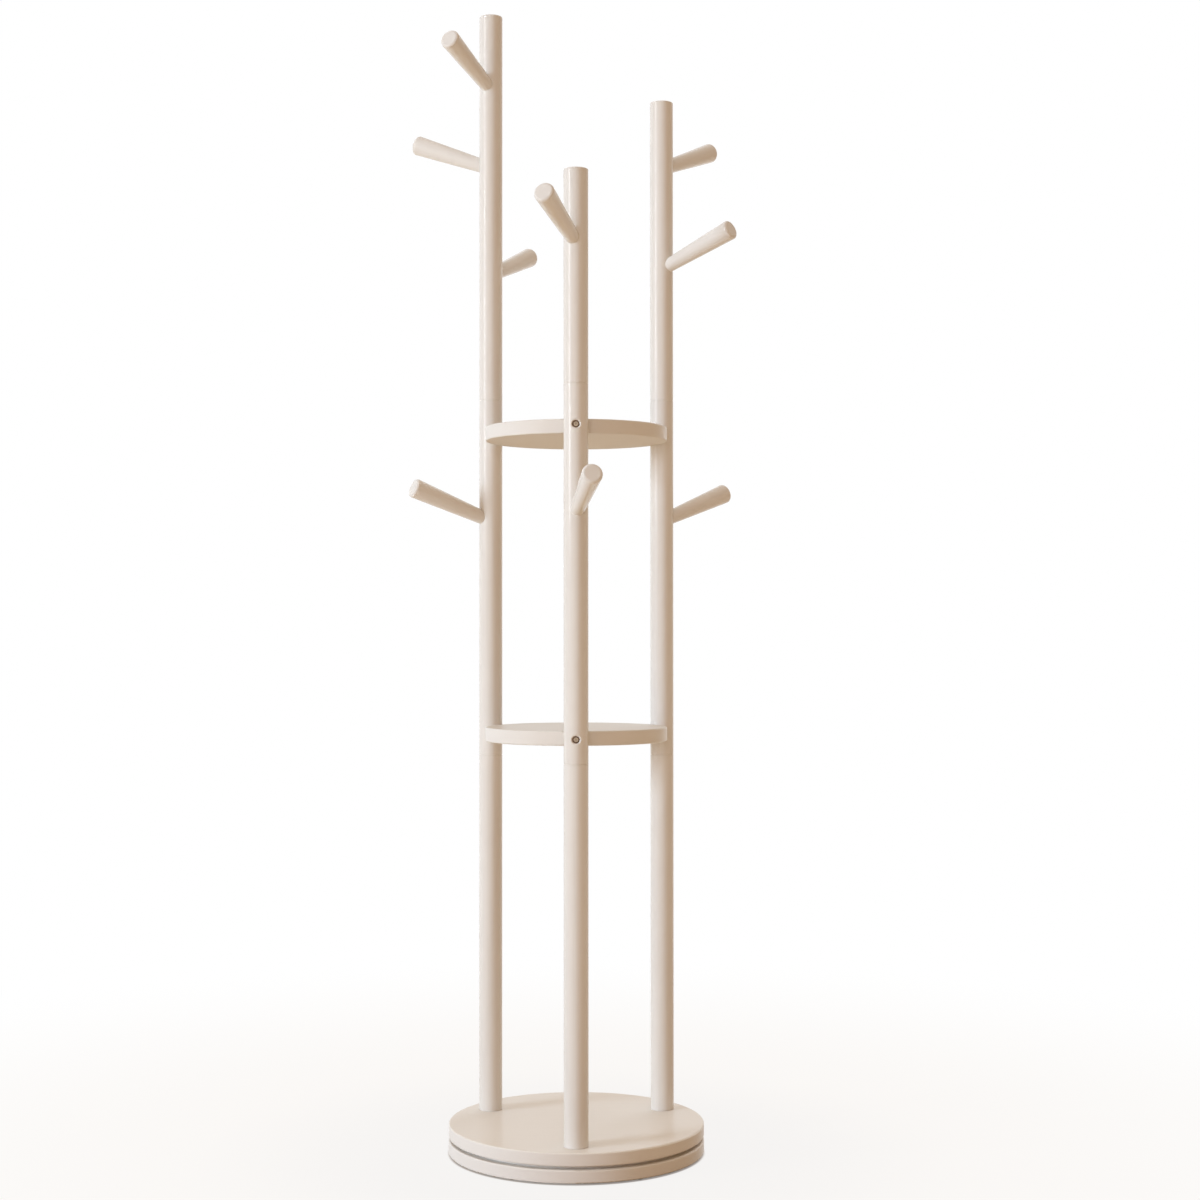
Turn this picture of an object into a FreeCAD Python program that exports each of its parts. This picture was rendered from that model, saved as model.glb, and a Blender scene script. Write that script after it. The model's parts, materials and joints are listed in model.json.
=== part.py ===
import FreeCAD, Part
import math
import os
import Sketcher

# Rotating hall tree: three round posts of different heights stand on a turning base, carry two
# round shelves between them and nine tapered pegs that rise outwards.
# Millimetres and degrees. +Z is up, the origin is on the floor under the swivel's axis, and -Y is
# the side of the short front post.

doc = FreeCAD.newDocument("RotatingHallTree")

sizes = {
    # Posts
    "post_count": 3,
    "post_diameter": 37.0,
    "post_circle_radius": 158.5,
    "first_post_bearing": 30.0,
    "lower_section_length": 567.0,
    "middle_section_length": 567.0,
    "left_upper_length": 619.0,
    "right_upper_length": 481.0,
    "front_upper_length": 321.0,
    "post_end_chamfer": 0.5,
    "post_top_rounding": 2.0,
    # Base: two round boards, the lower one still and the upper one turning
    "base_margin": 22.0,
    "lower_board_thickness": 20.0,
    "upper_board_thickness": 20.0,
    "board_rounding": 2.2,
    "lip_setback": 14.0,
    "lip_width": 10.0,
    "lip_clearance": 0.6,
    "pad_count": 6,
    "pad_diameter": 22.0,
    "pad_thickness": 2.0,
    "pad_inset": 18.0,
    # Swivel: a caged ball bearing let into both boards
    "ball_count": 20,
    "ball_diameter": 5.0,
    "ball_circle_radius": 60.0,
    "race_clearance": 0.08,
    "ring_gap": 1.4,
    "ring_width": 14.3,
    "ring_height": 7.0,
    "bearing_height": 8.0,
    "lower_seat_depth": 2.0,
    "upper_seat_depth": 1.0,
    "upper_seat_margin": 3.0,
    "cage_thickness": 0.8,
    "cage_height": 6.6,
    "cage_pocket_clearance": 0.1,
    "ring_screw_count": 4,
    "ring_screw_diameter": 4.0,
    "ring_screw_head": 8.0,
    "ring_screw_length": 16.0,
    "access_hole_diameter": 16.0,
    # Bolts that hold the posts to the upper board
    "base_bolt_diameter": 8.0,
    "base_bolt_head": 13.0,
    "base_bolt_head_height": 5.0,
    "base_bolt_socket": 6.0,
    "base_bolt_socket_depth": 3.0,
    "base_bolt_engagement": 16.0,
    "base_bolt_recess": 20.0,
    "base_bolt_recess_depth": 7.0,
    "washer_diameter": 18.0,
    "washer_thickness": 1.5,
    # Threaded inserts and studs at the ends of the post sections
    "joint_stud_length": 36.0,
    "end_insert_diameter": 12.0,
    "end_insert_length": 20.0,
    "end_insert_sink": 0.5,
    # Shelves, carried by the middle sections
    "shelf_thickness": 22.0,
    "shelf_rounding": 2.2,
    "shelf_notch_depth": 2.0,
    "lower_shelf_rise": 37.0,
    "upper_shelf_drop": 61.5,
    "shelf_screw_diameter": 4.0,
    "shelf_screw_head": 7.0,
    "shelf_screw_head_height": 4.0,
    "shelf_screw_sink": 3.0,
    "shelf_screw_recess": 11.0,
    "shelf_recess_rounding": 2.0,
    "shelf_screw_engagement": 14.0,
    "shelf_screw_socket": 3.5,
    "shelf_screw_socket_depth": 2.0,
    "shelf_insert_diameter": 8.0,
    "shelf_insert_length": 16.0,
    # Pegs
    "peg_tilt": 20.4,
    "peg_reach": 143.5,
    "peg_root_diameter": 20.8,
    "peg_tip_diameter": 31.2,
    "peg_tip_rounding": 4.5,
    "peg_stud_diameter": 6.0,
    "peg_stud_length": 40.0,
    "peg_insert_diameter": 9.0,
    "peg_insert_length": 15.0,
    "peg_insert_sink": 2.7,
    "peg_insert_engagement": 13.0,
    # Drops of the upper pegs below their post's top, and of the lower row below the upper shelf
    "left_top_peg_drop": 118.0,
    "left_second_peg_drop": 244.5,
    "left_third_peg_drop": 416.0,
    "right_top_peg_drop": 106.5,
    "right_second_peg_drop": 269.0,
    "front_top_peg_drop": 110.0,
    "low_peg_drop": 131.5,
    # Plan bearings of the pegs, counted from +X towards +Y
    "left_top_peg_bearing": 243.5,
    "left_second_peg_bearing": 157.0,
    "left_third_peg_bearing": 63.7,
    "left_low_peg_bearing": 206.5,
    "right_top_peg_bearing": 50.6,
    "right_second_peg_bearing": 322.7,
    "right_low_peg_bearing": 36.7,
    "front_top_peg_bearing": 249.8,
    "front_low_peg_bearing": 280.4,
    # Clearances, all radial
    "fastener_clearance": 0.05,
    "seat_clearance": 0.1,
    "hole_clearance": 0.2,
}

sheet = doc.addObject("Spreadsheet::Sheet", "Sizes")
for row, (alias, number) in enumerate(sizes.items(), start=1):
    sheet.set(f"A{row}", alias.replace("_", " "))
    sheet.set(f"B{row}", str(number))
    sheet.setAlias(f"B{row}", alias)
doc.recompute()

# Sizes and places worked out from the sheet
post_radius = "(Sizes.post_diameter / 2)"
post_step = "(360 / Sizes.post_count)"
base_radius = f"(Sizes.post_circle_radius + {post_radius} + Sizes.base_margin)"
shelf_radius = f"(Sizes.post_circle_radius - {post_radius} + Sizes.shelf_notch_depth)"
notch_radius = f"({post_radius} + Sizes.seat_clearance)"

lower_board_top = "(Sizes.pad_thickness + Sizes.lower_board_thickness)"
bearing_bottom = f"({lower_board_top} - Sizes.lower_seat_depth)"
upper_board_bottom = f"({bearing_bottom} + Sizes.bearing_height - Sizes.upper_seat_depth)"
board_gap = f"({upper_board_bottom} - {lower_board_top})"
lower_section_bottom = f"({upper_board_bottom} + Sizes.upper_board_thickness)"
lower_joint = f"({lower_section_bottom} + Sizes.lower_section_length)"
upper_joint = f"({lower_joint} + Sizes.middle_section_length)"
lower_shelf_middle = f"({lower_joint} + Sizes.lower_shelf_rise)"
upper_shelf_middle = f"({upper_joint} - Sizes.upper_shelf_drop)"

ball_radius = "(Sizes.ball_diameter / 2)"
race_radius = f"({ball_radius} + Sizes.race_clearance)"
outer_ring_inside = "(Sizes.ball_circle_radius + Sizes.ring_gap / 2)"
outer_ring_outside = f"({outer_ring_inside} + Sizes.ring_width)"
inner_ring_outside = "(Sizes.ball_circle_radius - Sizes.ring_gap / 2)"
inner_ring_inside = f"({inner_ring_outside} - Sizes.ring_width)"
inner_ring_lift = "(Sizes.bearing_height - Sizes.ring_height)"
outer_race_height = "(Sizes.bearing_height / 2)"
inner_race_height = f"({outer_race_height} - {inner_ring_lift})"
outer_screw_circle = f"({outer_ring_inside} + Sizes.ring_width / 2)"
inner_screw_circle = f"({inner_ring_outside} - Sizes.ring_width / 2)"
ring_screw_radius = "(Sizes.ring_screw_diameter / 2)"
ring_screw_hole = f"({ring_screw_radius} + Sizes.fastener_clearance)"
countersink_depth = "((Sizes.ring_screw_head - Sizes.ring_screw_diameter) / 2)"

end_insert_hole = "(Sizes.end_insert_diameter / 2 + Sizes.fastener_clearance)"
end_insert_depth = "(Sizes.end_insert_length + Sizes.end_insert_sink)"
base_bolt_bore = "(Sizes.base_bolt_diameter / 2 + Sizes.fastener_clearance)"
shelf_insert_end = f"(Sizes.post_circle_radius - {notch_radius})"
shelf_insert_start = f"({shelf_insert_end} - Sizes.shelf_insert_length)"
shelf_screw_bore = "(Sizes.shelf_screw_diameter / 2 + Sizes.fastener_clearance)"
shelf_recess_depth = "(Sizes.shelf_screw_sink + Sizes.shelf_screw_head_height)"
shelf_screw_seat = f"(Sizes.post_circle_radius + {post_radius} - {shelf_recess_depth})"
shelf_screw_tip = f"({shelf_insert_end} - Sizes.shelf_screw_engagement)"

peg_insert_end = f"({post_radius} / cos(Sizes.peg_tilt) - Sizes.peg_insert_sink)"
peg_insert_start = f"({peg_insert_end} - Sizes.peg_insert_length)"
peg_insert_hole = "(Sizes.peg_insert_diameter / 2 + Sizes.fastener_clearance)"
peg_stud_start = f"({peg_insert_end} - Sizes.peg_insert_engagement)"
peg_stud_end = f"({peg_stud_start} + Sizes.peg_stud_length)"
peg_stud_bore = "(Sizes.peg_stud_diameter / 2 + Sizes.fastener_clearance)"
peg_pitch = "(90 - Sizes.peg_tilt)"

start_index, end_index = 1, 2
horizontal_axis_index, vertical_axis_index = -1, -2
full_turn = 360
edge_tolerance = 1e-4
edge_samples = 5
nodes = []


def value(expression):
    return float(sheet.evalExpression(expression))


def place(x="0", y="0", z="0", yaw="0", pitch="0"):
    return f"placement(vector({x}; {y}; {z}); rotation({yaw}; {pitch}; 0))"


def origin_feature(body, role):
    return next(item for item in body.Origin.OriginFeatures if item.Role == role)


def new_body(label, placement=None):
    body = doc.addObject("PartDesign::Body", label)
    body.Label = label
    if placement:
        body.setExpression("Placement", placement)
    nodes.append(body)
    return body


def hold_corner(sketch, corner, kind, expression, axis):
    # Ties a corner to an axis, or to its distance from the sketch's origin
    if expression == "0":
        sketch.addConstraint(Sketcher.Constraint("PointOnObject", corner, start_index, axis))
        return
    distance = Sketcher.Constraint(kind, horizontal_axis_index, start_index, corner, start_index,
                                   value(expression))
    sketch.setExpression(f"Constraints[{sketch.addConstraint(distance)}]", expression)


def outline(body, name, corners, shift="0", tilt="0"):
    # Closed outline on the body's XZ plane; its corners are (across, up) expressions
    sketch = body.newObject("Sketcher::SketchObject", name)
    sketch.AttachmentSupport = [(origin_feature(body, "XZ_Plane"), "")]
    sketch.MapMode = "FlatFace"
    sketch.setExpression("AttachmentOffset", place(x=shift, yaw=tilt))
    points = [FreeCAD.Vector(value(across), value(up), 0) for across, up in corners]
    for corner, point in enumerate(points):
        following = (corner + 1) % len(points)
        sketch.addGeometry(Part.LineSegment(point, points[following]))
    for corner in range(len(points)):
        following = (corner + 1) % len(points)
        sketch.addConstraint(Sketcher.Constraint("Coincident", corner, end_index, following, start_index))
    for corner, (across, up) in enumerate(corners):
        hold_corner(sketch, corner, "DistanceX", across, vertical_axis_index)
        hold_corner(sketch, corner, "DistanceY", up, horizontal_axis_index)
    return sketch


def turn(body, name, corners, axis="V_Axis", shift="0", tilt="0"):
    sketch = outline(body, f"{name}_outline", corners, shift, tilt)
    turned = body.newObject("PartDesign::Revolution", name)
    turned.Profile = sketch
    turned.ReferenceAxis = (sketch, [axis])
    turned.Angle = full_turn
    return turned


def bore(body, name, radius, length, placement):
    cut = body.newObject("PartDesign::SubtractiveCylinder", name)
    cut.setExpression("Radius", radius)
    cut.setExpression("Height", length)
    cut.setExpression("Placement", placement)
    return cut


def hex_socket(body, name, across_corners, depth, placement):
    cut = body.newObject("PartDesign::SubtractivePrism", name)
    cut.Polygon = 6
    cut.setExpression("Circumradius", f"{across_corners} / 2")
    cut.setExpression("Height", depth)
    cut.setExpression("Placement", placement)
    return cut


def repeat(body, feature, count):
    doc.recompute()
    pattern = body.newObject("PartDesign::PolarPattern", f"{feature.Name}_set")
    pattern.Originals = [feature]
    pattern.Axis = (origin_feature(body, "Z_Axis"), [""])
    pattern.Angle = full_turn
    pattern.setExpression("Occurrences", count)
    body.Tip = pattern
    return pattern


def round_rims(body, name, feature, radius, rim, heights):
    # Rounds the circular edges of one radius that lie at the given heights
    doc.recompute()
    edges = []
    for number, edge in enumerate(feature.Shape.Edges, start=1):
        if not isinstance(edge.Curve, Part.Circle):
            continue
        right_radius = abs(edge.Curve.Radius - value(rim)) < edge_tolerance
        if right_radius and any(abs(edge.Curve.Center.z - value(up)) < edge_tolerance for up in heights):
            edges.append(f"Edge{number}")
    fillet = body.newObject("PartDesign::Fillet", name)
    fillet.Base = (feature, edges)
    fillet.setExpression("Radius", radius)
    return fillet


# Base boards
def make_lower_board():
    body = new_body("lower_base_disc", place(z="Sizes.pad_thickness"))
    seat_radius = f"({outer_ring_outside} + Sizes.seat_clearance)"
    seat_floor = "(Sizes.lower_board_thickness - Sizes.lower_seat_depth)"
    # A low lip behind the gap between the boards keeps dust off the swivel and hides it
    lip_outside = f"({base_radius} - Sizes.lip_setback)"
    lip_inside = f"({lip_outside} - Sizes.lip_width)"
    lip_top = f"(Sizes.lower_board_thickness + {board_gap} - Sizes.lip_clearance)"
    board = turn(body, "lower_board", [
        ("0", "0"),
        (base_radius, "0"),
        (base_radius, "Sizes.lower_board_thickness"),
        (lip_outside, "Sizes.lower_board_thickness"),
        (lip_outside, lip_top),
        (lip_inside, lip_top),
        (lip_inside, "Sizes.lower_board_thickness"),
        (seat_radius, "Sizes.lower_board_thickness"),
        (seat_radius, seat_floor),
        ("0", seat_floor),
    ])
    round_rims(body, "lower_board_rims", board, "Sizes.board_rounding", base_radius,
               ["0", "Sizes.lower_board_thickness"])
    bore(body, "access_hole", "Sizes.access_hole_diameter / 2", "Sizes.lower_board_thickness",
         place(x=inner_screw_circle))
    grip = "(Sizes.ring_screw_length - Sizes.ring_height)"
    pilot = bore(body, "outer_screw_pilot", ring_screw_hole, grip,
                 place(x=outer_screw_circle, z=f"{seat_floor} - {grip}"))
    repeat(body, pilot, "Sizes.ring_screw_count")


def make_foot_pads():
    body = new_body("foot_pads")
    pad = body.newObject("PartDesign::AdditiveCylinder", "pad")
    pad.setExpression("Radius", "Sizes.pad_diameter / 2")
    pad.setExpression("Height", "Sizes.pad_thickness")
    pad.setExpression("Placement", place(x=f"{base_radius} - Sizes.pad_inset"))
    repeat(body, pad, "Sizes.pad_count")


def make_upper_board():
    body = new_body("upper_base_disc", place(z=upper_board_bottom, yaw="Sizes.first_post_bearing"))
    seat_radius = f"({outer_ring_outside} + Sizes.upper_seat_margin)"
    board = turn(body, "upper_board", [
        ("0", "Sizes.upper_seat_depth"),
        (seat_radius, "Sizes.upper_seat_depth"),
        (seat_radius, "0"),
        (base_radius, "0"),
        (base_radius, "Sizes.upper_board_thickness"),
        ("0", "Sizes.upper_board_thickness"),
    ])
    round_rims(body, "upper_board_rims", board, "Sizes.board_rounding", base_radius,
               ["0", "Sizes.upper_board_thickness"])
    recess = bore(body, "bolt_recess", "Sizes.base_bolt_recess / 2", "Sizes.base_bolt_recess_depth",
                  place(x="Sizes.post_circle_radius"))
    repeat(body, recess, "Sizes.post_count")
    hole = bore(body, "bolt_hole", "Sizes.base_bolt_diameter / 2 + Sizes.hole_clearance",
                "Sizes.upper_board_thickness", place(x="Sizes.post_circle_radius"))
    repeat(body, hole, "Sizes.post_count")
    pilot = bore(body, "inner_screw_pilot", ring_screw_hole, "Sizes.ring_screw_length - Sizes.ring_height",
                 place(x=inner_screw_circle, z="Sizes.upper_seat_depth"))
    repeat(body, pilot, "Sizes.ring_screw_count")


# Swivel bearing
def countersink(body, name, circle, face, upwards):
    # Cone of a flat-headed screw, wide at the ring's face
    wide = "Sizes.ring_screw_head / 2 + Sizes.fastener_clearance"
    cone = body.newObject("PartDesign::SubtractiveCone", name)
    cone.setExpression("Height", countersink_depth)
    cone.setExpression("Radius1" if upwards else "Radius2", ring_screw_hole)
    cone.setExpression("Radius2" if upwards else "Radius1", wide)
    cone.setExpression("Placement", place(x=circle, z=f"{face} - {countersink_depth}" if upwards else face))
    return cone


def make_ring(label, inside, outside, bottom, race_height, circle, upwards):
    body = new_body(label, bottom)
    turn(body, f"{label}_blank", [
        (inside, "0"),
        (outside, "0"),
        (outside, "Sizes.ring_height"),
        (inside, "Sizes.ring_height"),
    ])
    race = body.newObject("PartDesign::SubtractiveTorus", f"{label}_race")
    race.setExpression("Radius1", "Sizes.ball_circle_radius")
    race.setExpression("Radius2", race_radius)
    race.setExpression("Placement", place(z=race_height))
    hole = bore(body, f"{label}_hole", ring_screw_hole, "Sizes.ring_height", place(x=circle))
    repeat(body, hole, "Sizes.ring_screw_count")
    face = "Sizes.ring_height" if upwards else "0"
    cone = countersink(body, f"{label}_countersink", circle, face, upwards)
    repeat(body, cone, "Sizes.ring_screw_count")


def make_ring_screws(label, circle, bottom, upwards):
    # Flat-headed screws; upwards tells on which end of the screw the head is
    body = new_body(label, bottom)
    tip, face = ("0", "Sizes.ring_screw_length") if upwards else ("Sizes.ring_screw_length", "0")
    neck = f"Sizes.ring_screw_length - {countersink_depth}" if upwards else countersink_depth
    screw = turn(body, f"{label}_screw", [
        ("0", tip),
        (ring_screw_radius, tip),
        (ring_screw_radius, neck),
        ("Sizes.ring_screw_head / 2", face),
        ("0", face),
    ], shift=circle)
    repeat(body, screw, "Sizes.ring_screw_count")


def make_cage():
    cage_bottom = f"{bearing_bottom} + {outer_race_height} - Sizes.cage_height / 2"
    body = new_body("bearing_cage", place(z=cage_bottom))
    cage_inside = "(Sizes.ball_circle_radius - Sizes.cage_thickness / 2)"
    cage_outside = "(Sizes.ball_circle_radius + Sizes.cage_thickness / 2)"
    turn(body, "cage_band", [
        (cage_inside, "0"),
        (cage_outside, "0"),
        (cage_outside, "Sizes.cage_height"),
        (cage_inside, "Sizes.cage_height"),
    ])
    pocket = bore(body, "ball_pocket", f"{ball_radius} + Sizes.cage_pocket_clearance", "Sizes.ball_diameter",
                  place(x=f"Sizes.ball_circle_radius - {ball_radius}", z="Sizes.cage_height / 2", pitch="90"))
    repeat(body, pocket, "Sizes.ball_count")


def make_balls():
    body = new_body("bearing_balls", place(z=f"{bearing_bottom} + {outer_race_height}"))
    ball = body.newObject("PartDesign::AdditiveSphere", "ball")
    ball.setExpression("Radius", ball_radius)
    ball.setExpression("Placement", place(x="Sizes.ball_circle_radius"))
    repeat(body, ball, "Sizes.ball_count")


# Posts, each in three sections that are screwed end to end
def make_post_section(label, bearing, bottom, length, is_top=False):
    x = f"Sizes.post_circle_radius * cos({bearing})"
    y = f"Sizes.post_circle_radius * sin({bearing})"
    body = new_body(label, place(x, y, bottom, yaw=bearing))
    chamfer = "Sizes.post_end_chamfer"
    corners = [
        ("0", end_insert_depth),
        (end_insert_hole, end_insert_depth),
        (end_insert_hole, "0"),
        (f"{post_radius} - {chamfer}", "0"),
        (post_radius, chamfer),
    ]
    if is_top:
        corners += [(post_radius, length), ("0", length)]
    else:
        corners += [
            (post_radius, f"{length} - {chamfer}"),
            (f"{post_radius} - {chamfer}", length),
            (end_insert_hole, length),
            (end_insert_hole, f"{length} - {end_insert_depth}"),
            ("0", f"{length} - {end_insert_depth}"),
        ]
    section = turn(body, f"{label}_rod", corners)
    if is_top:
        round_rims(body, f"{label}_top", section, "Sizes.post_top_rounding", post_radius, [length])
    return body


def mouth_edges(feature, seat, height):
    # Edges where a sunk hole along X leaves the round post, found by their distance from its axis
    edges = []
    for number, edge in enumerate(feature.Shape.Edges, start=1):
        points = edge.discretize(Number=edge_samples)
        off_axis = [math.hypot(point.y, point.z - value(height)) for point in points]
        on_wall = all(abs(off - value("Sizes.shelf_screw_recess / 2")) < edge_tolerance for off in off_axis)
        if on_wall and min(point.x for point in points) > value(seat) + edge_tolerance:
            edges.append(f"Edge{number}")
    return edges


def bore_for_shelf(body, name, height):
    # Sunk hole with a softened mouth, from the post's outer side through to the shelf's edge
    seat = f"{post_radius} - {shelf_recess_depth}"
    recess = bore(body, f"{name}_recess", "Sizes.shelf_screw_recess / 2", "Sizes.post_diameter",
                  place(x=seat, z=height, pitch="90"))
    doc.recompute()
    mouth = body.newObject("PartDesign::Fillet", f"{name}_mouth")
    mouth.Base = (recess, mouth_edges(recess, seat, height))
    mouth.setExpression("Radius", "Sizes.shelf_recess_rounding")
    bore(body, f"{name}_hole", "Sizes.shelf_screw_diameter / 2 + Sizes.hole_clearance",
         "2 * Sizes.post_diameter", place(x="-Sizes.post_diameter", z=height, pitch="90"))


def bore_for_peg(body, name, height, bearing, post_bearing):
    # Blind hole along the peg's rising axis
    yaw = f"({bearing} - {post_bearing})"
    x = f"{peg_insert_start} * cos(Sizes.peg_tilt) * cos({yaw})"
    y = f"{peg_insert_start} * cos(Sizes.peg_tilt) * sin({yaw})"
    z = f"{height} + {peg_insert_start} * sin(Sizes.peg_tilt)"
    bore(body, f"{name}_hole", peg_insert_hole, "Sizes.post_diameter", place(x, y, z, yaw, peg_pitch))


# Pegs
def make_peg(label, bearing, post_bearing, height):
    x = f"Sizes.post_circle_radius * cos({post_bearing})"
    y = f"Sizes.post_circle_radius * sin({post_bearing})"
    body = new_body(label, place(x, y, height, yaw=bearing))
    tip_radius = "(Sizes.peg_tip_diameter / 2)"
    taper = turn(body, f"{label}_taper", [
        ("0", "0"),
        ("Sizes.peg_reach", "0"),
        ("Sizes.peg_reach", tip_radius),
        ("0", "Sizes.peg_root_diameter / 2"),
    ], axis="H_Axis", tilt="Sizes.peg_tilt")
    round_rims(body, f"{label}_tip", taper, "Sizes.peg_tip_rounding", tip_radius,
               ["Sizes.peg_reach * sin(Sizes.peg_tilt)"])
    # The root is hollowed to sit against the round post
    bore(body, f"{label}_saddle", notch_radius, "2 * Sizes.peg_reach", place(z="-Sizes.peg_reach"))
    bore(body, f"{label}_stud_bore", peg_stud_bore, peg_stud_end, place(yaw="0", pitch=peg_pitch))


def along_peg(distance, bearing, post_bearing, height):
    # Placement at a distance from the post's axis along a peg, with Z along the peg
    reach = f"{distance} * cos(Sizes.peg_tilt)"
    x = f"Sizes.post_circle_radius * cos({post_bearing}) + {reach} * cos({bearing})"
    y = f"Sizes.post_circle_radius * sin({post_bearing}) + {reach} * sin({bearing})"
    z = f"{height} + {distance} * sin(Sizes.peg_tilt)"
    return place(x, y, z, bearing, peg_pitch)


def make_rod(name, radius, length, placement):
    rod = doc.addObject("Part::Cylinder", name)
    rod.setExpression("Radius", radius)
    rod.setExpression("Height", length)
    rod.setExpression("Placement", placement)
    return rod


def make_group(label, members):
    group = doc.addObject("Part::Compound", label)
    group.Label = label
    group.Links = members
    nodes.append(group)


def make_peg_fixings(pegs):
    studs = []
    inserts = []
    for label, bearing, post_bearing, height in pegs:
        stud_place = along_peg(peg_stud_start, bearing, post_bearing, height)
        insert_place = along_peg(peg_insert_start, bearing, post_bearing, height)
        studs.append(make_rod(f"{label}_stud", "Sizes.peg_stud_diameter / 2",
                              "Sizes.peg_stud_length", stud_place))
        sleeve = doc.addObject("Part::Cut", f"{label}_insert")
        sleeve.Base = make_rod(f"{label}_insert_blank", "Sizes.peg_insert_diameter / 2",
                               "Sizes.peg_insert_length", insert_place)
        sleeve.Tool = make_rod(f"{label}_insert_bore", peg_stud_bore, "Sizes.peg_insert_length", insert_place)
        inserts.append(sleeve)
    make_group("peg_studs", studs)
    make_group("peg_inserts", inserts)


# Fixings that repeat around the posts
def make_sleeves(label, starts):
    # Threaded inserts in the ends of the post sections, one per start height and post
    body = new_body(label, place(yaw="Sizes.first_post_bearing"))
    for number, start in enumerate(starts, start=1):
        end = f"{start} + Sizes.end_insert_length"
        sleeve = turn(body, f"{label}_sleeve_{number}", [
            (base_bolt_bore, start),
            ("Sizes.end_insert_diameter / 2", start),
            ("Sizes.end_insert_diameter / 2", end),
            (base_bolt_bore, end),
        ], shift="Sizes.post_circle_radius")
        repeat(body, sleeve, "Sizes.post_count")


def make_joint_studs(label, joint):
    body = new_body(label, place(z=f"{joint} - Sizes.joint_stud_length / 2", yaw="Sizes.first_post_bearing"))
    stud = body.newObject("PartDesign::AdditiveCylinder", f"{label}_stud")
    stud.setExpression("Radius", "Sizes.base_bolt_diameter / 2")
    stud.setExpression("Height", "Sizes.joint_stud_length")
    stud.setExpression("Placement", place(x="Sizes.post_circle_radius"))
    repeat(body, stud, "Sizes.post_count")


def make_base_bolts():
    washer_top = f"({upper_board_bottom} + Sizes.base_bolt_recess_depth)"
    head_top = f"({washer_top} - Sizes.washer_thickness)"
    body = new_body("post_base_bolts", place(z=f"{head_top} - Sizes.base_bolt_head_height",
                                             yaw="Sizes.first_post_bearing"))
    shank = "(Sizes.washer_thickness + Sizes.upper_board_thickness - Sizes.base_bolt_recess_depth)"
    end = f"Sizes.base_bolt_head_height + {shank} + Sizes.base_bolt_engagement"
    bolt = turn(body, "base_bolt", [
        ("0", "0"),
        ("Sizes.base_bolt_head / 2", "0"),
        ("Sizes.base_bolt_head / 2", "Sizes.base_bolt_head_height"),
        ("Sizes.base_bolt_diameter / 2", "Sizes.base_bolt_head_height"),
        ("Sizes.base_bolt_diameter / 2", end),
        ("0", end),
    ], shift="Sizes.post_circle_radius")
    repeat(body, bolt, "Sizes.post_count")
    socket = hex_socket(body, "base_bolt_socket", "Sizes.base_bolt_socket", "Sizes.base_bolt_socket_depth",
                        place(x="Sizes.post_circle_radius"))
    repeat(body, socket, "Sizes.post_count")
    washers = new_body("post_base_washers", place(z=head_top, yaw="Sizes.first_post_bearing"))
    washer = turn(washers, "base_washer", [
        (base_bolt_bore, "0"),
        ("Sizes.washer_diameter / 2", "0"),
        ("Sizes.washer_diameter / 2", "Sizes.washer_thickness"),
        (base_bolt_bore, "Sizes.washer_thickness"),
    ], shift="Sizes.post_circle_radius")
    repeat(washers, washer, "Sizes.post_count")


# Shelves, notched where the posts pass and screwed to them
def make_shelf(level, middle):
    label = f"{level}_shelf"
    body = new_body(label, place(z=f"{middle} - Sizes.shelf_thickness / 2", yaw="Sizes.first_post_bearing"))
    board = turn(body, f"{label}_board", [
        ("0", "0"),
        (shelf_radius, "0"),
        (shelf_radius, "Sizes.shelf_thickness"),
        ("0", "Sizes.shelf_thickness"),
    ])
    round_rims(body, f"{label}_rims", board, "Sizes.shelf_rounding", shelf_radius,
               ["0", "Sizes.shelf_thickness"])
    notch = bore(body, f"{label}_notch", notch_radius, "Sizes.shelf_thickness",
                 place(x="Sizes.post_circle_radius"))
    repeat(body, notch, "Sizes.post_count")
    hole = bore(body, f"{label}_insert_hole", "Sizes.shelf_insert_diameter / 2 + Sizes.fastener_clearance",
                "Sizes.shelf_insert_length + Sizes.post_diameter",
                place(x=shelf_insert_start, z="Sizes.shelf_thickness / 2", pitch="90"))
    repeat(body, hole, "Sizes.post_count")


def make_shelf_fixings(level, middle):
    at_shelf = place(z=middle, yaw="Sizes.first_post_bearing")
    screw_label = f"{level}_shelf_screws"
    screws = new_body(screw_label, at_shelf)
    head_end = f"({shelf_screw_seat} + Sizes.shelf_screw_head_height)"
    screw = turn(screws, f"{screw_label}_screw", [
        (shelf_screw_tip, "0"),
        (head_end, "0"),
        (head_end, "Sizes.shelf_screw_head / 2"),
        (shelf_screw_seat, "Sizes.shelf_screw_head / 2"),
        (shelf_screw_seat, "Sizes.shelf_screw_diameter / 2"),
        (shelf_screw_tip, "Sizes.shelf_screw_diameter / 2"),
    ], axis="H_Axis")
    repeat(screws, screw, "Sizes.post_count")
    socket = hex_socket(screws, f"{screw_label}_socket", "Sizes.shelf_screw_socket",
                        "Sizes.shelf_screw_socket_depth",
                        place(x=f"{head_end} - Sizes.shelf_screw_socket_depth", pitch="90"))
    repeat(screws, socket, "Sizes.post_count")
    insert_label = f"{level}_shelf_inserts"
    inserts = new_body(insert_label, at_shelf)
    sleeve = turn(inserts, f"{insert_label}_sleeve", [
        (shelf_insert_start, shelf_screw_bore),
        (shelf_insert_end, shelf_screw_bore),
        (shelf_insert_end, "Sizes.shelf_insert_diameter / 2"),
        (shelf_insert_start, "Sizes.shelf_insert_diameter / 2"),
    ], axis="H_Axis")
    repeat(inserts, sleeve, "Sizes.post_count")


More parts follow.
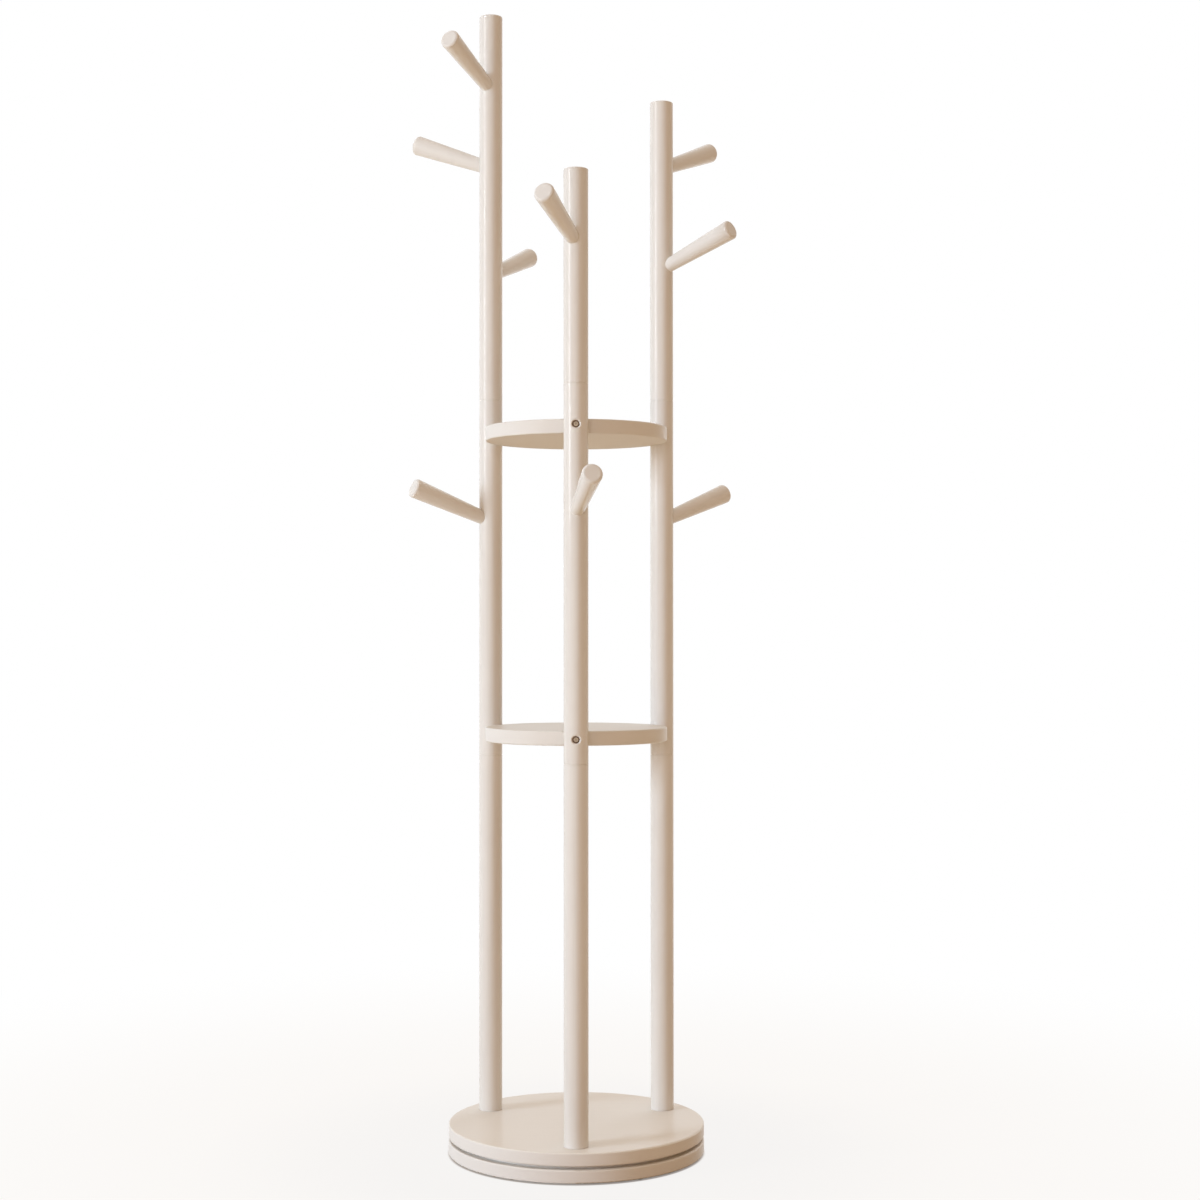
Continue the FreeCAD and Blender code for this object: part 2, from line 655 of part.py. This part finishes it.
make_lower_board()
make_foot_pads()
make_ring("bearing_outer_ring", outer_ring_inside, outer_ring_outside, place(z=bearing_bottom),
          outer_race_height, outer_screw_circle, upwards=True)
make_ring_screws("outer_ring_screws", outer_screw_circle,
                 place(z=f"{bearing_bottom} + Sizes.ring_height - Sizes.ring_screw_length"), upwards=True)
make_cage()
make_balls()
inner_ring_bottom = f"({bearing_bottom} + {inner_ring_lift})"
make_ring("bearing_inner_ring", inner_ring_inside, inner_ring_outside,
          place(z=inner_ring_bottom, yaw="Sizes.first_post_bearing"),
          inner_race_height, inner_screw_circle, upwards=False)
make_ring_screws("inner_ring_screws", inner_screw_circle,
                 place(z=inner_ring_bottom, yaw="Sizes.first_post_bearing"), upwards=False)
make_upper_board()
make_base_bolts()
make_sleeves("base_inserts", [f"{lower_section_bottom} + Sizes.end_insert_sink"])
for level, joint in (("lower", lower_joint), ("upper", upper_joint)):
    make_joint_studs(f"{level}_joint_studs", joint)
    make_sleeves(f"{level}_joint_inserts",
                 [f"{joint} - {end_insert_depth}", f"{joint} + Sizes.end_insert_sink"])
for level, middle in (("lower", lower_shelf_middle), ("upper", upper_shelf_middle)):
    make_shelf(level, middle)
    make_shelf_fixings(level, middle)

# Pegs of each post, from its top down; the low ones are in a row under the upper shelf
post_pegs = {
    "right": ["top", "second", "low"],
    "left": ["top", "second", "third", "low"],
    "front": ["top", "low"],
}
all_pegs = []
for number, (side, peg_names) in enumerate(post_pegs.items()):
    post_bearing = f"(Sizes.first_post_bearing + {number} * {post_step})"
    upper_length = f"Sizes.{side}_upper_length"
    make_post_section(f"{side}_post_lower", post_bearing, lower_section_bottom, "Sizes.lower_section_length")
    middle_section = make_post_section(f"{side}_post_middle", post_bearing, lower_joint,
                                       "Sizes.middle_section_length")
    upper_section = make_post_section(f"{side}_post_upper", post_bearing, upper_joint, upper_length,
                                      is_top=True)
    for level, middle in (("lower", lower_shelf_middle), ("upper", upper_shelf_middle)):
        bore_for_shelf(middle_section, f"{side}_{level}_shelf", f"{middle} - {lower_joint}")
    for peg in peg_names:
        label = f"{side}_{peg}_peg"
        bearing = f"Sizes.{label}_bearing"
        if peg == "low":
            section, bottom = middle_section, lower_joint
            height = f"({upper_shelf_middle} - Sizes.low_peg_drop)"
        else:
            section, bottom = upper_section, upper_joint
            height = f"({upper_joint} + {upper_length} - Sizes.{label}_drop)"
        bore_for_peg(section, label, f"{height} - {bottom}", bearing, post_bearing)
        make_peg(label, bearing, post_bearing, height)
        all_pegs.append((label, bearing, post_bearing, height))
make_peg_fixings(all_pegs)

doc.recompute()
for item in doc.Objects:
    if "Invalid" in item.State or "Error" in item.State:
        raise RuntimeError(f"{item.Label} did not build: {item.State}")
for node in nodes:
    if node.Shape.isNull() or not node.Shape.isValid() or not node.Shape.Solids:
        raise RuntimeError(f"{node.Label} has no sound solid")

os.makedirs("parts", exist_ok=True)
for node in nodes:
    node.Shape.exportStep(f"parts/{node.Label}.step")
    print(node.Label, len(node.Shape.Solids), round(node.Shape.Volume, 1))
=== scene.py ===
import json
import math
import random
import bpy
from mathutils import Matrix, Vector


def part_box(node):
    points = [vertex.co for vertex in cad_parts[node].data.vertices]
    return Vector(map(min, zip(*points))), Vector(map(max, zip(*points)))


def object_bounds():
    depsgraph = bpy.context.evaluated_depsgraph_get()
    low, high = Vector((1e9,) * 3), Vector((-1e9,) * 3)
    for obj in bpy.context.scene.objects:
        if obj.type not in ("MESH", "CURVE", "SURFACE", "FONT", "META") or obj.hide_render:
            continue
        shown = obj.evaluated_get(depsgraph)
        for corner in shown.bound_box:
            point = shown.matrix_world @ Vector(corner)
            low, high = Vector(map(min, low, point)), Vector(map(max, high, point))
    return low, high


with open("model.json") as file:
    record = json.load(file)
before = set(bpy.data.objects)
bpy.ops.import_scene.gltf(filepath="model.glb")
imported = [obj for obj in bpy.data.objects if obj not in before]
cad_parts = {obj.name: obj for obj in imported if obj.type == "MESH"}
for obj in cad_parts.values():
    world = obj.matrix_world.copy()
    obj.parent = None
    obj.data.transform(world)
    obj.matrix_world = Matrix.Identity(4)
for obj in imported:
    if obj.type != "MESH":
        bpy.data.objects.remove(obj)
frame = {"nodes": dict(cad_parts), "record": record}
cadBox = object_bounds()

scene = bpy.context.scene
nodes = frame["nodes"]
zUp = Vector((0, 0, 1))
white = (1, 1, 1, 1)


# Helpers for nodes

def feed(tree, node, inputs):
    # each input takes another node's output or a plain value
    for key, source in inputs.items():
        if isinstance(source, bpy.types.NodeSocket):
            tree.links.new(source, node.inputs[key])
        else:
            node.inputs[key].default_value = source


def addNode(tree, kind, inputs=None, **settings):
    # settings come first, because some of them decide which inputs there are
    node = tree.nodes.new(kind)
    for key, setting in settings.items():
        setattr(node, key, setting)
    feed(tree, node, inputs or {})
    return node


def calc(tree, operation, *sources):
    # this and the next four give the node's output
    return addNode(tree, "ShaderNodeMath", dict(enumerate(sources)), operation=operation).outputs[0]


def vectorCalc(tree, operation, *sources):
    # lengths and dot products are numbers, the rest are vectors
    node = addNode(tree, "ShaderNodeVectorMath", dict(enumerate(sources)), operation=operation)
    return node.outputs["Value" if operation in ("LENGTH", "DOT_PRODUCT") else "Vector"]


def ramp(tree, source, span, ends=(0.0, 1.0), smooth=False):
    # goes from one end to the other over the span, and stays there outside it
    node = addNode(tree, "ShaderNodeMapRange", {
        "Value": source, "From Min": span[0], "From Max": span[1], "To Min": ends[0], "To Max": ends[1]})
    if smooth:
        node.interpolation_type = "SMOOTHSTEP"
    return node.outputs[0]


# places of both inputs and of the result in a Mix node, which has a set for each kind
mixPlaces = {"FLOAT": (2, 3, 0), "RGBA": (6, 7, 2)}


def mix(tree, kind, share, first, second):
    # share 0 gives the first, 1 the second
    firstPlace, secondPlace, result = mixPlaces[kind]
    node = addNode(tree, "ShaderNodeMix", {0: share, firstPlace: first, secondPlace: second}, data_type=kind)
    return node.outputs[result]


def relief(tree, height, depth, below=None):
    # depth is in metres; below is the normal of a relief under this one
    bump = addNode(tree, "ShaderNodeBump", {"Height": height, "Distance": depth})
    if below is not None:
        feed(tree, bump, {"Normal": below})
    return bump.outputs["Normal"]


def newGroup(name, inputs, outputs):
    # inputs and outputs are (name, kind) pairs; kind is Float, Color or Vector
    group = bpy.data.node_groups.new(name, "ShaderNodeTree")
    for inOut, sockets in (("INPUT", inputs), ("OUTPUT", outputs)):
        for label, kind in sockets:
            group.interface.new_socket(name=label, in_out=inOut, socket_type="NodeSocket" + kind)
    return group, group.nodes.new("NodeGroupInput").outputs, group.nodes.new("NodeGroupOutput")


def placeGroup(tree, group, inputs):
    return addNode(tree, "ShaderNodeGroup", inputs, node_tree=group).outputs


# Shared effects

noiseSpan = (0.3, 0.7)     # a noise texture's values lie mostly within this

fibreLook = {
    "noise": {"Detail": 2.5, "Roughness": 0.6, "Distortion": 0.15},
    "poreSpan": (0.50, 0.36),     # fibre heights where a pore begins and where it is full
}


def makeFibreGroup():
    # noise drawn out along Z: wood fibres, or turning lines where Stretch is below 1
    group, given, end = newGroup(
        "woodFibres",
        [("Vector", "Vector"), ("Scale", "Float"), ("Stretch", "Float")],
        [("Height", "Float"), ("Pores", "Float")])
    squeeze = calc(group, "DIVIDE", 1.0, given["Stretch"])
    shape = addNode(group, "ShaderNodeCombineXYZ", {"X": 1.0, "Y": 1.0, "Z": squeeze})
    stretched = vectorCalc(group, "MULTIPLY", given["Vector"], shape.outputs[0])
    fibres = addNode(group, "ShaderNodeTexNoise", {
        "Vector": stretched, "Scale": given["Scale"], **fibreLook["noise"]})
    pores = ramp(group, fibres.outputs[0], fibreLook["poreSpan"])
    feed(group, end, {"Height": fibres.outputs[0], "Pores": pores})
    return group


peelLook = {"noise": {"Detail": 2.0, "Roughness": 0.5}}


def makePeelGroup():
    # tiny dimples of a sprayed or moulded skin
    group, given, end = newGroup(
        "sprayPeel",
        [("Vector", "Vector"), ("Scale", "Float")],
        [("Height", "Float")])
    dimples = addNode(group, "ShaderNodeTexNoise", {
        "Vector": given["Vector"], "Scale": given["Scale"], **peelLook["noise"]})
    feed(group, end, {"Height": dimples.outputs[0]})
    return group


driftLook = {"noise": {"Detail": 3.0, "Roughness": 0.55}}


def makeDriftGroup():
    # slow change of tone over a surface
    group, given, end = newGroup(
        "toneDrift",
        [("Vector", "Vector"), ("Color", "Color"), ("Second", "Color"), ("Scale", "Float")],
        [("Color", "Color")])
    clouds = addNode(group, "ShaderNodeTexNoise", {
        "Vector": given["Vector"], "Scale": given["Scale"], **driftLook["noise"]})
    share = ramp(group, clouds.outputs[0], noiseSpan)
    feed(group, end, {"Color": mix(group, "RGBA", share, given["Color"], given["Second"])})
    return group


def makeHoleGroup():
    # 1 within a drilled hole, told by the distance from its axis
    group, given, end = newGroup(
        "drilledHole",
        [("Vector", "Vector"), ("Centre", "Vector"), ("Axis", "Vector"), ("Radius", "Float")],
        [("Mask", "Float")])
    offset = vectorCalc(group, "SUBTRACT", given["Vector"], given["Centre"])
    across = vectorCalc(group, "CROSS_PRODUCT", offset, given["Axis"])
    distance = vectorCalc(group, "LENGTH", across)
    feed(group, end, {"Mask": calc(group, "LESS_THAN", distance, given["Radius"])})
    return group


fibreGroup = makeFibreGroup()
peelGroup = makePeelGroup()
driftGroup = makeDriftGroup()
holeGroup = makeHoleGroup()
print("effects:", fibreGroup.name, peelGroup.name, driftGroup.name, holeGroup.name)


def newMaterial(name, plain):
    # plain holds what is the same all over the surface
    material = bpy.data.materials.new(name)
    material.use_nodes = True
    tree = material.node_tree
    shader = tree.nodes["Principled BSDF"]
    feed(tree, shader, plain)
    return material, tree, shader


def localCoords(tree, root=(0, 0, 0), axis=zUp, shift=(0, 0, 0)):
    # object coordinates turned so that Z runs along the piece
    coords = addNode(tree, "ShaderNodeTexCoord")
    mapping = addNode(tree, "ShaderNodeMapping", {
        "Vector": coords.outputs["Object"],
        "Location": Vector(root) + Vector(shift),
        "Rotation": zUp.rotation_difference(axis).to_euler()}, vector_type="TEXTURE")
    return mapping.outputs["Vector"]


# Painted wood of posts, pegs and boards

paintLook = {
    "ior": 1.50,
    "driftScale": 3.2,
    "fibreScale": 190.0,
    "fibreStretch": 26.0,
    "fibreRelief": 0.000004,
    "grainShift": 2.0,              # each piece's grain is moved by up to this, so no two look the same
    "poreColor": (0.711, 0.673, 0.622, 1),
    "poreShare": 0.4,
    "peelScale": 620.0,
    "peelRelief": 0.000003,
    "endSpan": (0.45, 0.9),         # how far a face looks along the piece where its end begins and is full
    "endHeight": 0.5,               # the even fibre height of filled and sanded ends
    "endColor": (0.734, 0.699, 0.653, 1),     # the ends are painted a little darker than the sides
    "endRoughness": 0.42,
    "undersideSpan": (-0.5, -0.9),  # the normal's Z where an underside begins and is full
    "undersideRoughness": 0.75,
}
# boards are filled before they are sprayed: they show less grain and shine less; the base is painted paler
# than the rest, a lighter copy of the same paint that stands in for extra light on it (painted light)
coatLooks = {
    "rod": {"color": (0.756, 0.722, 0.676, 1), "warmColor": (0.742, 0.702, 0.648, 1), "grain": 1.0,
            "roughness": (0.155, 0.17), "shine": 0.44},
    "shelf": {"color": (0.756, 0.722, 0.676, 1), "warmColor": (0.742, 0.702, 0.648, 1), "grain": 0.25,
              "roughness": (0.352, 0.358), "shine": 0.12},
    # the base's paler colour is painted light: brighter paint in place of light that would fall on it
    "base": {"color": (0.826, 0.789, 0.739, 1), "warmColor": (0.811, 0.767, 0.708, 1), "grain": 0.25,
             "roughness": (0.262, 0.268), "shine": 0.08},
}
boardGrain = Vector((1, 0, 0))     # the way the fibres of boards run
holeWoodAndShadeLook = {
    "color": (0.45, 0.335, 0.25, 1),     # bare wood, darkened further as painted shade inside the recess
    "roughness": 0.8,
    "radius": 0.0055,                    # of the recess round a sunk screw
}


def facingAlong(tree, axis):
    # 0 on faces that run along the piece, 1 on its ends
    coords = addNode(tree, "ShaderNodeTexCoord")
    along = vectorCalc(tree, "DOT_PRODUCT", coords.outputs["Normal"], axis)
    return ramp(tree, calc(tree, "ABSOLUTE", along), paintLook["endSpan"])


def facingDown(tree):
    # 1 on faces that look down
    geometry = addNode(tree, "ShaderNodeNewGeometry")
    normal = addNode(tree, "ShaderNodeSeparateXYZ", {0: geometry.outputs["Normal"]})
    return ramp(tree, normal.outputs["Z"], paintLook["undersideSpan"])


def paintedWood(name, root, axis, seed, kind, holes=()):
    # kind is one of coatLooks; holes are (centre, axis) of screw recesses, whose dark brown is bare wood and
    # painted shade
    look = paintLook
    coat = coatLooks[kind]
    material, tree, shader = newMaterial(name, {"IOR": look["ior"], "Specular IOR Level": coat["shine"]})
    draw = random.Random(seed)
    shift = [draw.uniform(-look["grainShift"], look["grainShift"]) for side in range(3)]
    vector = localCoords(tree, root, axis, shift)
    drift = placeGroup(tree, driftGroup, {
        "Vector": vector, "Color": coat["color"], "Second": coat["warmColor"], "Scale": look["driftScale"]})
    fibres = placeGroup(tree, fibreGroup, {
        "Vector": vector, "Scale": look["fibreScale"], "Stretch": look["fibreStretch"]})
    peel = placeGroup(tree, peelGroup, {"Vector": vector, "Scale": look["peelScale"]})
    # the grain shows faintly in colour and relief, on the sides alone
    ends = facingAlong(tree, axis)
    grain = mix(tree, "FLOAT", ends, fibres["Height"], look["endHeight"])
    pores = mix(tree, "FLOAT", ends, fibres["Pores"], 0.0)
    streaks = calc(tree, "MULTIPLY", pores, look["poreShare"] * coat["grain"])
    color = mix(tree, "RGBA", streaks, drift["Color"], look["poreColor"])
    roughness = ramp(tree, fibres["Height"], noiseSpan, coat["roughness"])
    if kind == "rod":
        color = mix(tree, "RGBA", ends, color, look["endColor"])
        roughness = mix(tree, "FLOAT", ends, roughness, look["endRoughness"])
    else:
        roughness = mix(tree, "FLOAT", facingDown(tree), roughness, look["undersideRoughness"])
    # the recesses get a dark brown: bare wood, made darker as painted shade in the hole
    for centre, along in holes:
        place = addNode(tree, "ShaderNodeTexCoord")
        hole = placeGroup(tree, holeGroup, {
            "Vector": place.outputs["Object"], "Centre": centre, "Axis": along, "Radius": holeWoodAndShadeLook["radius"]})
        color = mix(tree, "RGBA", hole["Mask"], color, holeWoodAndShadeLook["color"])
        roughness = mix(tree, "FLOAT", hole["Mask"], roughness, holeWoodAndShadeLook["roughness"])
    grainNormal = relief(tree, grain, look["fibreRelief"] * coat["grain"])
    normal = relief(tree, peel["Height"], look["peelRelief"], grainNormal)
    feed(tree, shader, {"Base Color": color, "Roughness": roughness, "Normal": normal})
    return material


# Metal, plastic and felt of the fittings

metalLooks = {
    "zinc_steel": {
        "color": (0.50, 0.48, 0.45, 1), "second": (0.40, 0.385, 0.36, 1), "driftScale": 240.0,
        "lineScale": 900.0, "lineStretch": 0.08, "lineRelief": 0.00001, "roughness": (0.30, 0.46)},
    "dark_screw": {
        "color": (0.42, 0.30, 0.205, 1), "second": (0.34, 0.24, 0.165, 1), "driftScale": 260.0,
        "lineScale": 1200.0, "lineStretch": 1.0, "lineRelief": 0.000006, "roughness": (0.36, 0.50)},
    "polished_steel": {
        "color": (0.68, 0.68, 0.69, 1), "second": (0.60, 0.60, 0.61, 1), "driftScale": 300.0,
        "lineScale": 1400.0, "lineStretch": 1.0, "lineRelief": 0.000002, "roughness": (0.07, 0.13)},
    "insert_brass": {
        "color": (0.70, 0.53, 0.26, 1), "second": (0.58, 0.42, 0.20, 1), "driftScale": 200.0,
        "lineScale": 1100.0, "lineStretch": 0.06, "lineRelief": 0.00001, "roughness": (0.24, 0.38)},
}


def turnedMetal(name, look):
    material, tree, shader = newMaterial(name, {"Metallic": 1.0})
    vector = localCoords(tree)
    drift = placeGroup(tree, driftGroup, {
        "Vector": vector, "Color": look["color"], "Second": look["second"], "Scale": look["driftScale"]})
    lines = placeGroup(tree, fibreGroup, {
        "Vector": vector, "Scale": look["lineScale"], "Stretch": look["lineStretch"]})
    feed(tree, shader, {
        "Base Color": drift["Color"],
        "Roughness": ramp(tree, lines["Height"], noiseSpan, look["roughness"]),
        "Normal": relief(tree, lines["Height"], look["lineRelief"])})
    return material


softLooks = {
    "nylon": {
        "color": (0.78, 0.77, 0.72, 1), "second": (0.72, 0.70, 0.64, 1), "driftScale": 90.0,
        "peelScale": 1500.0, "peelRelief": 0.00001, "plain": {"Roughness": 0.42, "IOR": 1.53}},
    "felt": {
        "color": (0.060, 0.054, 0.048, 1), "second": (0.11, 0.10, 0.09, 1), "driftScale": 900.0,
        "peelScale": 2600.0, "peelRelief": 0.0002, "plain": {"Roughness": 0.95, "Sheen Weight": 0.25}},
}


def plainSkin(name, look):
    # moulded nylon or matted felt fibres
    material, tree, shader = newMaterial(name, look["plain"])
    vector = localCoords(tree)
    drift = placeGroup(tree, driftGroup, {
        "Vector": vector, "Color": look["color"], "Second": look["second"], "Scale": look["driftScale"]})
    peel = placeGroup(tree, peelGroup, {"Vector": vector, "Scale": look["peelScale"]})
    feed(tree, shader, {
        "Base Color": drift["Color"],
        "Normal": relief(tree, peel["Height"], look["peelRelief"])})
    return material


# A finish for every node

def middleOf(node):
    low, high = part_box(node)
    return (low + high) / 2


def pegLine(node):
    # from the axis of the post that the peg is named after, at the peg's lowest height, to its far upper end
    low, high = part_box(node)
    middle = middleOf(node)
    post = middleOf(node.split("_")[0] + "_post_upper")
    root = Vector((post.x, post.y, low.z))
    tip = Vector((low.x if middle.x < root.x else high.x,
                  low.y if middle.y < root.y else high.y, high.z))
    return root, (tip - root).normalized()


def shelfHoles(post):
    # the sunk screws of both shelves point from the swivel's axis through the post's
    middle = middleOf(post)
    outwards = Vector((middle.x, middle.y, 0)).normalized()
    heights = [middleOf(shelf).z for shelf in ("lower_shelf", "upper_shelf")]
    return [(Vector((middle.x, middle.y, height)), outwards) for height in heights]


def paintFor(node, seed):
    if node.endswith("_peg"):
        root, axis = pegLine(node)
        return paintedWood(node, root, axis, seed, "rod")
    if "_post_" in node:
        holes = shelfHoles(node) if node.endswith("_middle") else ()
        return paintedWood(node, middleOf(node), zUp, seed, "rod", holes)
    kind = "shelf" if node.endswith("_shelf") else "base"
    return paintedWood(node, middleOf(node), boardGrain, seed, kind)


def dress(node, material):
    slots = nodes[node].data.materials
    slots.clear()
    slots.append(material)


slotOf = {row["node"]: row["material_slot"] for row in frame["record"]["subparts"]}
fittings = {slot: turnedMetal(slot, look) for slot, look in metalLooks.items()}
fittings.update({slot: plainSkin(slot, look) for slot, look in softLooks.items()})
painted = []
for seed, node in enumerate(sorted(nodes)):
    if slotOf[node] == "painted_wood":
        dress(node, paintFor(node, seed))
        painted.append(node)
    elif node.endswith("_shelf_screws"):
        dress(node, fittings["dark_screw"])  # the only fittings in plain view
    else:
        dress(node, fittings[slotOf[node]])
print("materials:", len(painted), "painted pieces,", len(fittings), "fittings' finishes")


# Floor, light and camera

floorLook = {
    "size": 16.0,
    "color": (0.785, 0.665, 0.51, 1),         # what bounces off it further out
    "nearShadowColor": (0.463, 0.353, 0.237, 1),    # a darker bounce colour round the base: a painted shadow of the base
    "toneSpan": (0.25, 0.65),                 # metres from the swivel's axis where one turns into the other
    "whiteNear": 0.87,                        # share of plain white that is seen near the base
    "whiteSpan": (0.45, 1.9),                 # metres from the axis where it grows to all white
    "whiteUnder": 0.3,                        # share of that under the base, dimmed as a painted contact shadow
    "contactBlur": 0.002,
}


def seenDirectly(tree):
    # 1 for what the camera, a reflection or glass sees, 0 for light that bounces
    path = addNode(tree, "ShaderNodeLightPath").outputs
    cameraOrGloss = calc(tree, "MAXIMUM", path["Is Camera Ray"], path["Is Glossy Ray"])
    return calc(tree, "MAXIMUM", cameraOrGloss, path["Is Transmission Ray"])


def floorFinish():
    # matte where light bounces, with white laid over it where it is seen
    look = floorLook
    material = bpy.data.materials.new("paleFloor")
    material.use_nodes = True
    tree = material.node_tree
    tree.nodes.clear()
    coords = addNode(tree, "ShaderNodeTexCoord")
    distance = vectorCalc(tree, "LENGTH", coords.outputs["Object"])
    # the bounce colour darkens towards the base, a painted shadow
    far = ramp(tree, distance, look["toneSpan"], smooth=True)
    matte = addNode(tree, "ShaderNodeBsdfDiffuse", {
        "Color": mix(tree, "RGBA", far, look["nearShadowColor"], look["color"])})
    around = ramp(tree, distance, look["whiteSpan"], (look["whiteNear"], 1.0), smooth=True)
    # less white under the base, a painted contact shadow that lets the rendered shade there show, so that its
    # edge meets the floor in a darker line
    low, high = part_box("lower_base_disc")
    edge = (high.x - low.x) / 2
    rimSpan = (edge - look["contactBlur"], edge + look["contactBlur"])
    outside = ramp(tree, distance, rimSpan, (look["whiteUnder"], 1.0))
    share = calc(tree, "MULTIPLY", calc(tree, "MULTIPLY", around, outside), seenDirectly(tree))
    glow = addNode(tree, "ShaderNodeEmission", {"Color": white, "Strength": 1.0})
    both = addNode(tree, "ShaderNodeMixShader", {0: share, 1: matte.outputs[0], 2: glow.outputs[0]})
    addNode(tree, "ShaderNodeOutputMaterial", {"Surface": both.outputs[0]})
    return material


def makeFloor():
    half = floorLook["size"] / 2
    corners = [(-half, -half, 0), (half, -half, 0), (half, half, 0), (-half, half, 0)]
    mesh = bpy.data.meshes.new("studioFloor")
    mesh.from_pydata(corners, [], [(0, 1, 2, 3)])
    mesh.materials.append(floorFinish())
    floor = bpy.data.objects.new("studioFloor", mesh)
    scene.collection.objects.link(floor)


skyLook = {
    "sideColor": (0.30, 0.16, 0.042, 1),
    "topColor": (1.44, 1.33, 1.20, 1),
    "topFrom": 0.6,     # height on the sky, 1 straight up, where the sides' colour begins to turn
}


def makeSky():
    # fill light, warm from the sides and near white from above; plain white where it is seen
    look = skyLook
    world = bpy.data.worlds.new("studioSky")
    scene.world = world
    world.use_nodes = True
    tree = world.node_tree
    tree.nodes.clear()
    coords = addNode(tree, "ShaderNodeTexCoord")
    direction = addNode(tree, "ShaderNodeSeparateXYZ", {0: coords.outputs["Generated"]})
    height = ramp(tree, direction.outputs["Z"], (look["topFrom"], 1.0))
    color = mix(tree, "RGBA", height, look["sideColor"], look["topColor"])
    fill = addNode(tree, "ShaderNodeBackground", {"Color": color, "Strength": 1.0})
    plain = addNode(tree, "ShaderNodeBackground", {"Color": white, "Strength": 1.0})
    both = addNode(tree, "ShaderNodeMixShader", {
        0: seenDirectly(tree), 1: fill.outputs[0], 2: plain.outputs[0]})
    addNode(tree, "ShaderNodeOutputWorld", {"Surface": both.outputs[0]})


lampAim = Vector((0, 0, cadBox[1][2] / 2))     # half the rack's height
lampLooks = {
    # bearing is in degrees to the left of the camera's side
    # these three give matte light and show in no gloss
    "windowLight": {"bearing": 65.0, "elevation": 8.0, "distance": 9.0, "width": 2.6, "height": 2.6,
                    "power": 635.0, "color": (0.645, 0.81, 0.99), "lights": True, "mirrored": False},
    "frontLight": {"bearing": 8.0, "elevation": 6.0, "distance": 9.0, "width": 2.6, "height": 2.6,
                   "power": 84.0, "color": (0.96, 0.88, 0.96), "lights": True, "mirrored": False},
    "backLight": {"bearing": 204.0, "elevation": 6.0, "distance": 9.0, "width": 5.0, "height": 2.6,
                  "power": 420.0, "color": (0.78, 0.875, 1.0), "lights": True, "mirrored": False},
    # these two only show in the gloss, as a bright window frame and a white wall would
    "windowStrip": {"bearing": 62.5, "elevation": 19.0, "distance": 6.0, "width": 0.6, "height": 3.2,
                    "power": 72.0, "color": (0.96, 0.96, 1.0), "lights": False, "mirrored": True},
    "whiteWall": {"bearing": 22.0, "elevation": 16.0, "distance": 5.0, "width": 9.0, "height": 5.0,
                  "power": 66.0, "color": (0.7, 0.9, 1.0), "lights": False, "mirrored": True},
}


def makeLamp(name, look):
    lamp = bpy.data.lights.new(name, "AREA")
    lamp.shape = "RECTANGLE"
    lamp.size = look["width"]
    lamp.size_y = look["height"]
    lamp.energy = look["power"]
    lamp.color = look["color"]
    light = bpy.data.objects.new(name, lamp)
    bearing = math.radians(look["bearing"])
    rise = math.radians(look["elevation"])
    level = math.cos(rise)
    away = Vector((-math.sin(bearing) * level, -math.cos(bearing) * level, math.sin(rise)))
    light.location = lampAim + away * look["distance"]
    light.rotation_euler = away.to_track_quat("Z", "Y").to_euler()
    light.visible_camera = False
    light.visible_diffuse = look["lights"]
    light.visible_glossy = look["mirrored"]
    scene.collection.objects.link(light)


cameraLook = {
    "location": (0.00716, -3.20945, 0.8187),
    "pitch": 0.7415,      # degrees up from level
    "turn": -0.536,       # degrees to the left
    "roll": 0.028,        # degrees clockwise
    "lens": 61.445,
    "sensor": 36.0,
}
levelPitch = 90.0     # Blender's cameras look straight down at 0


def makeCamera():
    look = cameraLook
    optics = bpy.data.cameras.new("photoCamera")
    optics.lens = look["lens"]
    optics.sensor_width = look["sensor"]
    camera = bpy.data.objects.new("photoCamera", optics)
    camera.location = look["location"]
    angles = (levelPitch + look["pitch"], look["roll"], look["turn"])
    camera.rotation_euler = [math.radians(angle) for angle in angles]
    scene.collection.objects.link(camera)
    scene.camera = camera


makeFloor()
makeSky()
for name, look in lampLooks.items():
    makeLamp(name, look)
makeCamera()
scene.view_settings.view_transform = "Standard"
print("studio: floor, sky,", len(lampLooks), "lamps, camera")
